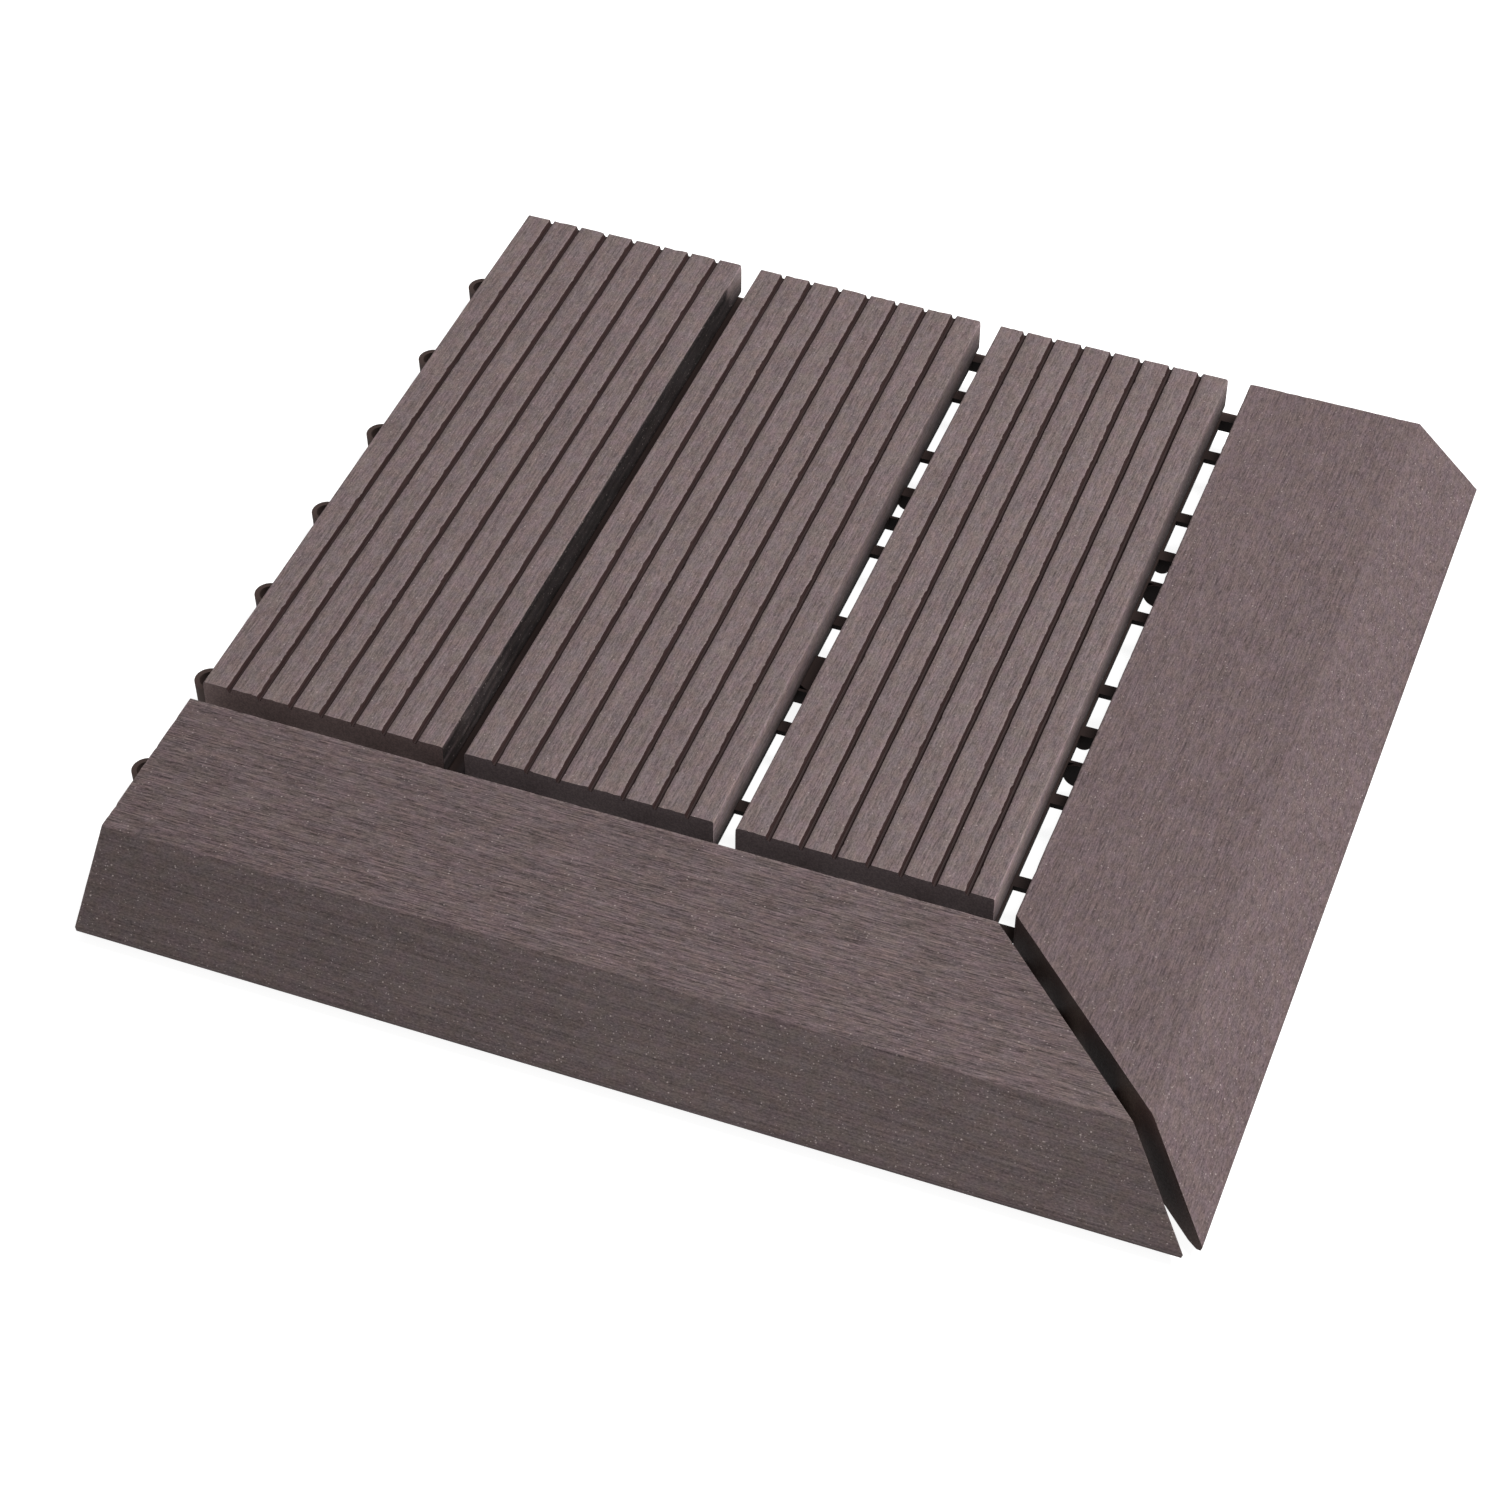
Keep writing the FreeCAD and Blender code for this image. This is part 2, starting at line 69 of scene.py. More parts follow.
# ------------------------------------------------------------------ camera
def make_camera():
    cam = bpy.data.cameras.new("camera")
    cam.lens = 88.982
    cam.sensor_width = 36.0
    cam.sensor_fit = "AUTO"
    cam.clip_start = 0.01
    cam.clip_end = 50.0
    o = bpy.data.objects.new("camera", cam)
    bpy.context.scene.collection.objects.link(o)
    right = Vector((0.9360746, 0.3517387, 0.0066453))
    down = Vector((0.2522604, -0.6579294, -0.7095728))
    ahead = Vector((-0.2452121, 0.6658895, -0.7046008))
    m = Matrix((right, -down, -ahead)).transposed().to_4x4()
    m.translation = Vector((0.241632, -0.701524, 0.712363))
    o.matrix_world = m
    bpy.context.scene.camera = o
    return o


make_camera()
bpy.context.scene.view_settings.view_transform = "Standard"
bpy.context.scene.view_settings.look = "None"


# ------------------------------------------------------------------ small maths
def smooth_noise(seed, x, wave, octaves=3, fall=0.5):
    """Smooth one-dimensional noise of about -1..1 at positions x."""
    x = np.asarray(x, float)
    out = np.zeros_like(x)
    amp, total = 1.0, 0.0
    for k in range(octaves):
        rng = np.random.default_rng(seed * 101 + k)
        table = rng.uniform(-1, 1, 4096)
        q = x / wave * (2 ** k) + 1000.0
        i = np.floor(q).astype(int)
        f = q - i
        f = f * f * (3 - 2 * f)
        out += amp * (table[i % 4096] * (1 - f) + table[(i + 1) % 4096] * f)
        total += amp
        amp *= fall
    return out / total


def nicks(seed, x, count, lo, hi, depth, width):
    """A few short bites along an edge: 0 elsewhere, up to `depth` at each bite."""
    rng = np.random.default_rng(seed)
    out = np.zeros_like(np.asarray(x, float))
    for c, d, w in zip(rng.uniform(lo, hi, count), rng.uniform(0.35, 1.0, count), rng.uniform(0.5, 1.5, count)):
        out = np.maximum(out, depth * d * np.exp(-((x - c) / (width * w)) ** 2))
    return out


def arc_corner(a, p, b, r, steps):
    """Points of a tangent arc of radius r at corner p between a and b."""
    a, p, b = (np.array(v, float) for v in (a, p, b))
    u = (a - p) / np.linalg.norm(a - p)
    w = (b - p) / np.linalg.norm(b - p)
    half = math.acos(max(-1, min(1, float(u @ w)))) / 2
    run = r / math.tan(half)
    mid = (u + w) / np.linalg.norm(u + w)
    c = p + mid * (r / math.sin(half))
    s, e = p + u * run - c, p + w * run - c
    a0, a1 = math.atan2(s[1], s[0]), math.atan2(e[1], e[0])
    d = (a1 - a0 + math.pi) % (2 * math.pi) - math.pi
    return [c + r * np.array((math.cos(a0 + d * t), math.sin(a0 + d * t))) for t in np.linspace(0, 1, steps)]


def run_points(a, b, step):
    """Points between a and b (both left out), about `step` apart."""
    a, b = np.array(a, float), np.array(b, float)
    n = max(1, int(round(np.linalg.norm(b - a) / step)))
    return [a + (b - a) * k / n for k in range(1, n)]


def mesh_object(name, verts_mm, faces, attributes=None):
    me = bpy.data.meshes.new(name)
    v = np.asarray(verts_mm, float)
    v = np.stack([(v[:, 0] + OX), (v[:, 1] + OY), v[:, 2]], 1) / 1000.0
    me.from_pydata([tuple(p) for p in v], [], [tuple(int(i) for i in f) for f in faces])
    for key, values in (attributes or {}).items():
        at = me.attributes.new(key, "FLOAT", "POINT")
        at.data.foreach_set("value", np.asarray(values, np.float32))
    me.validate()
    o = bpy.data.objects.new(name, me)
    bpy.context.scene.collection.objects.link(o)
    return o


class Shell:
    """A long board swept along s from a section of (u, z) points, closed with two
    cut ends and an underside that has round blind holes in it."""

    def __init__(self, name, to_xyz):
        self.name, self.to_xyz = name, to_xyz
        self.v, self.f = [], []
        # painted light: each vertex carries a brightness factor that paints light and shade into the colour
        self.raw, self.cut, self.edge, self.slope, self.lift = [], [], [], [], []

    def add(self, s, u, z, raw=0.0, cut=0.0, edge=0.0, slope=0.0, lift=1.0):
        self.v.append((s, u, z))
        self.raw.append(raw)
        self.cut.append(cut)
        self.edge.append(edge)
        self.slope.append(slope)
        self.lift.append(lift)
        return len(self.v) - 1

    def grid(self, S, U, Z, raw, edge, slope=0.0, lift=1.0):
        """S, U, Z are (stations, section points) arrays."""
        n, m = S.shape
        base = len(self.v)
        flat = np.stack([S.ravel(), U.ravel(), Z.ravel()], 1)
        self.v += [tuple(p) for p in flat]
        self.raw += list(np.broadcast_to(raw, (n, m)).ravel())
        self.cut += [0.0] * (n * m)
        self.edge += list(np.broadcast_to(edge, (n, m)).ravel())
        self.slope += list(np.broadcast_to(slope, (n, m)).ravel())
        self.lift += list(np.broadcast_to(lift, (n, m)).ravel())
        for j in range(n - 1):
            r0, r1 = base + j * m, base + (j + 1) * m
            self.f += [(r0 + i, r0 + i + 1, r1 + i + 1, r1 + i) for i in range(m - 1)]
        self.n, self.m, self.base = n, m, base

    def fill(self, ids, plane, inner, place, marks, holes=()):
        """Fills the loop of vertices `ids` with triangles over inner points.  plane(p)
        gives a vertex's flat coordinates and place(a, b) a new vertex's."""
        pts = [plane(self.v[i]) for i in ids]
        n = len(pts)
        edges = [(k, (k + 1) % n) for k in range(n)]
        known = list(ids)
        for ring in holes:
            k0 = len(pts)
            for i in ring:
                pts.append(plane(self.v[i]))
                known.append(i)
            edges += [(k0 + k, k0 + (k + 1) % len(ring)) for k in range(len(ring))]
        for a, b in inner:
            pts.append((a, b))
            known.append(None)
        out = delaunay_2d_cdt([Vector(p) for p in pts], edges, [], 2 if holes else 1, 1e-6)
        verts, faces, orig = out[0], out[2], out[3]
        index = []
        for p, o in zip(verts, orig):
            who = [known[k] for k in o if known[k] is not None]
            index.append(who[0] if who else self.add(*place(p[0], p[1]), **(marks(p[0], p[1]) if callable(marks) else marks)))
        outer = np.array(pts[:n])
        rings = []
        k0 = n
        for ring in holes:
            rings.append(np.array(pts[k0:k0 + len(ring)]))
            k0 += len(ring)
        for face in faces:
            c = np.mean([verts[k] for k in face], 0)
            if inside(outer, c) and not any(inside(r, c) for r in rings):
                self.f.append(tuple(index[k] for k in face))

    def rim(self, ids, plane, inset, place, marks):
        """A second loop of vertices just inside the loop `ids`, joined to it."""
        p = np.array([plane(self.v[i]) for i in ids])
        ahead, behind = np.roll(p, -1, 0) - p, p - np.roll(p, 1, 0)
        ahead /= np.maximum(np.linalg.norm(ahead, axis=1), 1e-9)[:, None]
        behind /= np.maximum(np.linalg.norm(behind, axis=1), 1e-9)[:, None]
        t = ahead + behind
        t /= np.maximum(np.linalg.norm(t, axis=1), 1e-9)[:, None]
        area = 0.5 * np.sum(p[:, 0] * np.roll(p[:, 1], -1) - np.roll(p[:, 0], -1) * p[:, 1])
        side = np.stack([-t[:, 1], t[:, 0]], 1) * (1.0 if area > 0 else -1.0)
        q = p + side * inset
        ring = [self.add(*place(a, c, self.v[i][0]), **(marks(a, c) if callable(marks) else marks)) for (a, c), i in zip(q, ids)]
        k = len(ids)
        self.f += [(ids[j], ids[(j + 1) % k], ring[(j + 1) % k], ring[j]) for j in range(k)]
        return ring

    def hole(self, s, u):
        """Ring of vertices on the underside, with the wall and the end of the hole."""
        k = 28
        rings = []
        for z in (UNDER, UNDER + PILOT_D * 0.5, UNDER + PILOT_D):
            rings.append([self.add(s + PILOT_R * math.cos(2 * math.pi * i / k), u + PILOT_R * math.sin(2 * math.pi * i / k), z, raw=0.6) for i in range(k)])
        for a, b in zip(rings, rings[1:]):
            self.f += [(a[i], a[(i + 1) % k], b[(i + 1) % k], b[i]) for i in range(k)]
        tip = self.add(s, u, UNDER + PILOT_D + 0.001, raw=0.6)
        self.f += [(rings[-1][i], rings[-1][(i + 1) % k], tip) for i in range(k)]
        return rings[0]

    def finish(self):
        v = np.array([self.to_xyz(*p) for p in self.v])
        o = mesh_object(self.name, v, self.f, {"raw": self.raw, "cut": self.cut, "edge": self.edge, "slope": self.slope, "lift": self.lift})
        return tidy(o)


def inside(poly, p):
    x, y = poly[:, 0], poly[:, 1]
    x2, y2 = np.roll(x, -1), np.roll(y, -1)
    hit = (y > p[1]) != (y2 > p[1])
    with np.errstate(divide="ignore", invalid="ignore"):
        t = (x2 - x) * (p[1] - y) / (y2 - y) + x
    return bool(np.count_nonzero(hit & (p[0] < t)) % 2)


def tidy(o):
    """Faces all turned outward; soft shading except over sharp edges."""
    import bmesh
    bm = bmesh.new()
    bm.from_mesh(o.data)
    bmesh.ops.recalc_face_normals(bm, faces=bm.faces)
    for e in bm.edges:
        if len(e.link_faces) == 2:
            e.smooth = e.calc_face_angle(0.0) < math.radians(32)
    for f in bm.faces:
        f.smooth = True
    bm.to_mesh(o.data)
    bm.free()
    o.data.update()
    return o


# ------------------------------------------------------------------ slats
GROOVES = [8.15 + 9.1 * k for k in range(7)]
RUN_L, FLOOR, RUN_R, DEEP = 0.6, 0.6, 0.8, 1.35
OFFSET = ((-0.25, -0.30, -0.30, -0.30, -0.25, -0.28, -0.40), (0.05, -0.03, -0.03, 0.0, -0.05, -0.10, -0.20),
          (0.45, 0.28, 0.20, 0.13, 0.05, -0.08, -0.25))
SKEW = (-0.10, 0.50, 0.57)
TOP_R, LOW_R = 0.7, 2.8


def slat_section():
    """Open section of a slat from the underside's left end, over the top, to its
    right end: rows of u, z, raw, edge, groove number (or -1), groove side (-1, 0, 1)."""
    rows = []

    def put(points, raw, edge=0.0, groove=-1, side=0):
        for p in points:
            rows.append((p[0], p[1], raw, edge, groove, side))

    W = SLAT_W
    put(arc_corner((W / 2, UNDER), (0, UNDER), (0, TOP), LOW_R, 8), 1.0)
    put(run_points((0, UNDER + LOW_R), (0, TOP - TOP_R), 1.1), 1.0)
    a = arc_corner((0, UNDER), (0, TOP), (W / 2, TOP), TOP_R, 6)
    put(a[:3], 0.4, 0.3)
    put(a[3:], 0.0, 0.35)
    last = TOP_R
    for g, c in enumerate(GROOVES):
        x0 = c - (RUN_L + FLOOR + RUN_R) / 2
        x1, x2, x3 = x0 + RUN_L, x0 + RUN_L + FLOOR, x0 + RUN_L + FLOOR + RUN_R
        lead = arc_corner((x0 - 3, TOP), (x0, TOP), (x1, TOP - DEEP), 0.25, 4)
        tail = arc_corner((x2, TOP - DEEP), (x3, TOP), (x3 + 3, TOP), 0.3, 4)
        foot_l = arc_corner((x0, TOP), (x1, TOP - DEEP), (x2, TOP - DEEP), 0.16, 3)
        foot_r = arc_corner((x1, TOP - DEEP), (x2, TOP - DEEP), (x3, TOP), 0.16, 3)
        land = run_points((last, TOP), lead[0], 0.9)
        put(land, 0.0)
        put(lead[:2], 0.0, 0.6, g, -1)
        put(lead[2:], 1.0, 0.1, g, -1)
        put(run_points(lead[-1], foot_l[0], 0.45), 1.0, 0.0, g, -1)
        put(foot_l, 1.0, 0.0, g, 0)
        put(foot_r, 1.0, 0.0, g, 0)
        put(run_points(foot_r[-1], tail[0], 0.45), 1.0, 0.0, g, 1)
        put(tail[:2], 1.0, 0.0, g, 1)
        put(tail[2:], 0.0, 0.35, g, 1)
        last = tail[-1][0]
    a = arc_corner((W / 2, TOP), (W, TOP), (W, UNDER), TOP_R, 6)
    put(run_points((last, TOP), a[0], 0.9), 0.0)
    put(a[:3], 0.0, 0.35)
    put(a[3:], 0.4, 0.3)
    put(run_points((W, TOP - TOP_R), (W, UNDER + LOW_R), 1.1), 1.0)
    put(arc_corner((W, TOP), (W, UNDER), (W / 2, UNDER), LOW_R, 8), 1.0)
    return np.array(rows)


def make_slat(index, name, screws):
    left = index * SLAT_P
    rows = slat_section()
    u0, z0, raw, edge, groove, side = rows.T
    n = 442
    s = np.linspace(0.0, SLAT_L, n)
    m = len(u0)
    U = np.repeat(u0[None, :], n, 0)
    Z = np.repeat(z0[None, :], n, 0)
    S = np.repeat(s[:, None], m, 1)
    E = np.repeat(edge[None, :], n, 0)
    seed = 40 + 60 * index
    # groove sides wander a little and have small bites where the brush caught them
    for g in range(7):
        dl = 0.19 + 0.12 * smooth_noise(seed + g, s, 9.0, 3, 0.7) + 0.05 * smooth_noise(seed + 500 + g, s, 1.6, 2)
        dl -= nicks(seed + 900 + g, s, 12, 2, SLAT_L - 2, 0.30, 0.9)
        dl += 0.055 * np.tanh(4.0 * smooth_noise(seed + 620 + g, s, 2.4, 2, 0.6)) + nicks(seed + 640 + g, s, 16, 2, SLAT_L - 2, 0.24, 0.45)
        dr = -0.19 + 0.09 * smooth_noise(seed + 20 + g, s, 12.0, 3, 0.7) + 0.035 * smooth_noise(seed + 530 + g, s, 1.8, 2)
        dr += nicks(seed + 930 + g, s, 5, 2, SLAT_L - 2, 0.2, 0.8)
        deep = 0.06 * smooth_noise(seed + 560 + g, s, 14.0, 2)
        k = (groove == g)
        low = np.clip((TOP - z0) / DEEP, 0, 1)
        for sd, shift in ((-1, dl), (1, dr)):
            q = np.where(k & (side == sd))[0]
            U[:, q] += shift[:, None] * (1 - 0.75 * low[q])[None, :]
        q = np.where(k)[0]
        Z[:, q] -= deep[:, None] * (low[q] ** 2)[None, :]
    # the grooves aren't quite true to the board's edges: they are set off and run askew
    knots = [0.0] + GROOVES + [SLAT_W]
    share = np.array([np.interp(u0, knots, np.eye(9)[g + 1]) for g in range(7)]) * (z0 > TOP - 2.0)
    wander = np.array(OFFSET[index])[None, :] + SKEW[index] * (s[:, None] - SLAT_L / 2) / 100.0
    U += wander @ share
    # lands: very slightly uneven height, as brushed
    top = np.where((z0 > TOP - 0.02) & (groove < 0))[0]
    for i in top:
        Z[:, i] -= 0.02 + 0.02 * smooth_noise(seed + 2000 + i, s, 7.0, 3, 0.6)
    # long outer edges
    rim_l = np.where((u0 < TOP_R + 0.01) & (z0 > TOP - TOP_R - 0.3))[0]
    rim_r = np.where((u0 > SLAT_W - TOP_R - 0.01) & (z0 > TOP - TOP_R - 0.3))[0]
    for rim, sign, k in ((rim_l, 1, 31), (rim_r, -1, 32)):
        shape = np.sin(np.pi * np.clip((z0[rim] - TOP + TOP_R + 0.3) / (TOP_R + 0.3), 0, 1))
        U[:, rim] += sign * (0.05 + 0.05 * smooth_noise(seed + k, s, 9.0, 3, 0.6))[:, None] * shape[None, :]
    # side walls: the brushed colour runs down and darkens towards the underside, as painted shade in the gaps, and is
    # painted paler at the back end and towards the front end, as painted light. The left slat's right wall is painted
    # dark right up to its edge, but for its back end, as painted shade in its gap.
    wall = (groove < 0) & (z0 < TOP - 0.15)
    right = wall & (u0 > SLAT_W / 2)
    R = np.repeat(np.where(groove < 0, np.where(wall, 0.0, raw), raw)[None, :], n, 0)
    down = np.interp(z0, [11.0, 13.5, 16.5, 19.5, 22.0, 23.1, 23.5], [0.05, 0.15, 0.40, 0.72, 1.0, 1.0, 0.62])
    along = np.interp(s, [0, 5, 40, 100, 160, 205, 224], [2.0, 1.6, 1.0, 1.40, 1.85, 2.0, 2.05])
    # painted light: the right slat's walls are painted paler still towards the front end
    if index == 2:
        along = along * np.interp(s, [0, 100, 160, 205, 224], [1.0, 1.06, 1.14, 1.24, 1.24])
    L = np.ones((n, m))
    # painted light and shade in the grooves: their left sides are painted paler and their floors and right sides
    # darker, evening out the grooves' shading
    L[:, (groove >= 0) & (side == -1)] = 1.14
    L[:, (groove >= 0) & (side >= 0)] = 0.78
    L[:, wall] = (along[:, None] * down[None, :])[:, wall]
    for i in np.where(wall)[0]:
        L[:, i] *= 1 + 0.10 * smooth_noise(seed + 4000 + i, s, 14.0, 3, 0.6)
    if index == 0:
        q = np.where(right)[0]
        for i in q:
            t = np.clip((s - 5.5 - 5.5 * (z0[i] - UNDER) / (TOP - UNDER) - 2.2 * smooth_noise(seed + 5400, np.array([float(i)]), 1.6, 2, 0.6)[0]) / 4.5, 0, 1)
            t = t * t * (3 - 2 * t)
            dark = np.maximum(0.15 + 0.16 * smooth_noise(seed + 5000 + i, s, 16.0, 4, 0.6), 0.03)
            # painted highlight: a few pale spots near the front end stand in for glints on the wall
            dark = dark + 0.45 * nicks(seed + 5200 + i, s, 3, 178, SLAT_L - 3, 0.8, 4.0)
            L[:, i] = L[:, i] * (1 - t) + dark * t
    else:
        for row, gain in ((-1, 1.5), (-2, 1.1)) if index == 1 else ((-1, 1.1),):      # a pale line down the front corner
            L[row, right] = np.minimum(L[row, right] * gain + 0.2, 2.0)
    # sawn ends: crumbs at the top edge only
    high = np.clip((z0 - (TOP - 2.2)) / 1.5, 0, 1)
    for row, sign in ((0, 1.0), (n - 1, -1.0)):
        bite = 0.10 * (1 + smooth_noise(seed + 70 + row, u0, 2.0, 3, 0.7)) + nicks(seed + 77 + row, u0, 7, 0, SLAT_W, 0.32, 0.8)
        S[row, :] += sign * bite * high
    for row in (0, -1):
        E[row, :] = np.maximum(E[row, :], 0.6 * (z0 > TOP - 1.0) * (raw < 0.5))

    # s runs from the back end (y = 0) to the front end (y = -length)
    sh = Shell(name, lambda a, b, c: (left + b, -a, c))
    sh.grid(S, U, Z, R, E, np.where(groove >= 0, 1.0, 0.0)[None, :], L)
    b = sh.base
    for row, at in ((0, 0.0), (n - 1, SLAT_L)):
        ids = [b + row * m + i for i in range(m)]
        sign = 1.0 if row == 0 else -1.0
        inner = [(x, z) for x in np.arange(1.2, SLAT_W - 1.0, 1.45) for z in np.arange(UNDER + 1.3, TOP - 2.3, 1.3)]
        step = np.random.default_rng(seed + 5 + row)
        # the cut face has a rim of its own a hair inside, so that its colour starts at the edge
        # painted light and shade: the back end faces are painted a touch darker and the front end faces paler, most on
        # the left slat, whose front end is also redder
        end = {"cut": 1.0, "lift": 0.92} if row == 0 else {"cut": 1.0, "lift": 1.60, "slope": 1.0} if index == 0 else {"cut": 1.0, "lift": 1.43}
        rim = sh.rim(ids, lambda p: (p[1], p[2]), 0.12, lambda x, z, s: (s, x, z), end)
        sh.fill(rim, lambda p: (p[1], p[2]), inner,
                lambda x, z: (at + sign * float(0.03 + 0.03 * step.uniform(-1, 1)), x, z), end)
    rings = [sh.hole(-y, x - left) for x, y in screws]
    first = [b + j * m for j in range(n)]
    last = [b + j * m + m - 1 for j in range(n)]
    sh.fill(first + last[::-1], lambda p: (p[0], p[1]),
            [(ss, uu) for ss in np.arange(6, SLAT_L - 4, 12.0) for uu in np.arange(8, SLAT_W - 5, 9.0)
             if all(math.hypot(ss + y, uu - (x - left)) > 3.2 for x, y in screws)],
            lambda a, c: (a, c, UNDER), {"raw": 0.8}, rings)
    return sh.finish()


RIB = dict(b=20.6, c=50.1, e=94.7, f=126.4, k=171.2, l=203.4, o=247.6, p=268.0)
ROWS = "bfl"
for i, (name, pair) in enumerate((("left_slat", "bc"), ("middle_slat", "ef"), ("right_slat", "kl"))):
    places = [(RIB[c], -RIB[r]) for c in pair for r in ROWS]
    o = make_slat(i, "brushed_" + name, places)
    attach(o, "root")
    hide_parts(name)
SLATS = [bpy.data.objects["brushed_" + n] for n in ("left_slat", "middle_slat", "right_slat")]


# ------------------------------------------------------------------ edge boards
FLAT = 50.8


def board_section():
    """Open section of an edge board, u outward from its inner edge: from the inner
    end of the underside over the top and the bevel to the outer end of the underside."""
    flat, wide, tip, low = FLAT, 70.4, TOP - 19.0, 0.2
    corners = [((0, UNDER), 0.6, 5, 0.6), ((0, TOP), 0.7, 6, 0.0), ((flat, TOP), 1.0, 6, 0.0), ((wide, tip), 0.5, 4, 0.1),
               ((wide - 0.45, tip - 1.9), 0.6, 3, 0.3), ((wide - 1.7, tip - 3.35), 0.8, 3, 0.5), ((66.0, low), 0.8, 4, 0.6),
               ((55.5, low), 0.8, 5, 0.8), ((45.0, UNDER), 1.5, 5, 0.8)]
    n = len(corners)
    rows = []
    prev = None
    for k, (p, r, steps, raw) in enumerate(corners):
        a, b = corners[k - 1][0], corners[(k + 1) % n][0]
        arc = arc_corner(a, p, b, r, steps)
        if prev is not None:
            gap = float(np.linalg.norm(np.array(arc[0]) - prev[0]))
            top_run = arc[0][1] > tip and prev[0][1] > tip and k in (2, 3)
            for q in run_points(prev[0], arc[0], 1.15 if top_run else 1.6):
                rows.append((q[0], q[1], 0.0 if top_run else max(raw, prev[1]), 0.0))
        for q in arc:
            rows.append((q[0], q[1], raw, 0.8 if k in (1,) else (0.25 if k in (2, 3) else 0.0)))
        prev = (np.array(arc[-1]), raw)
    return np.array(rows)


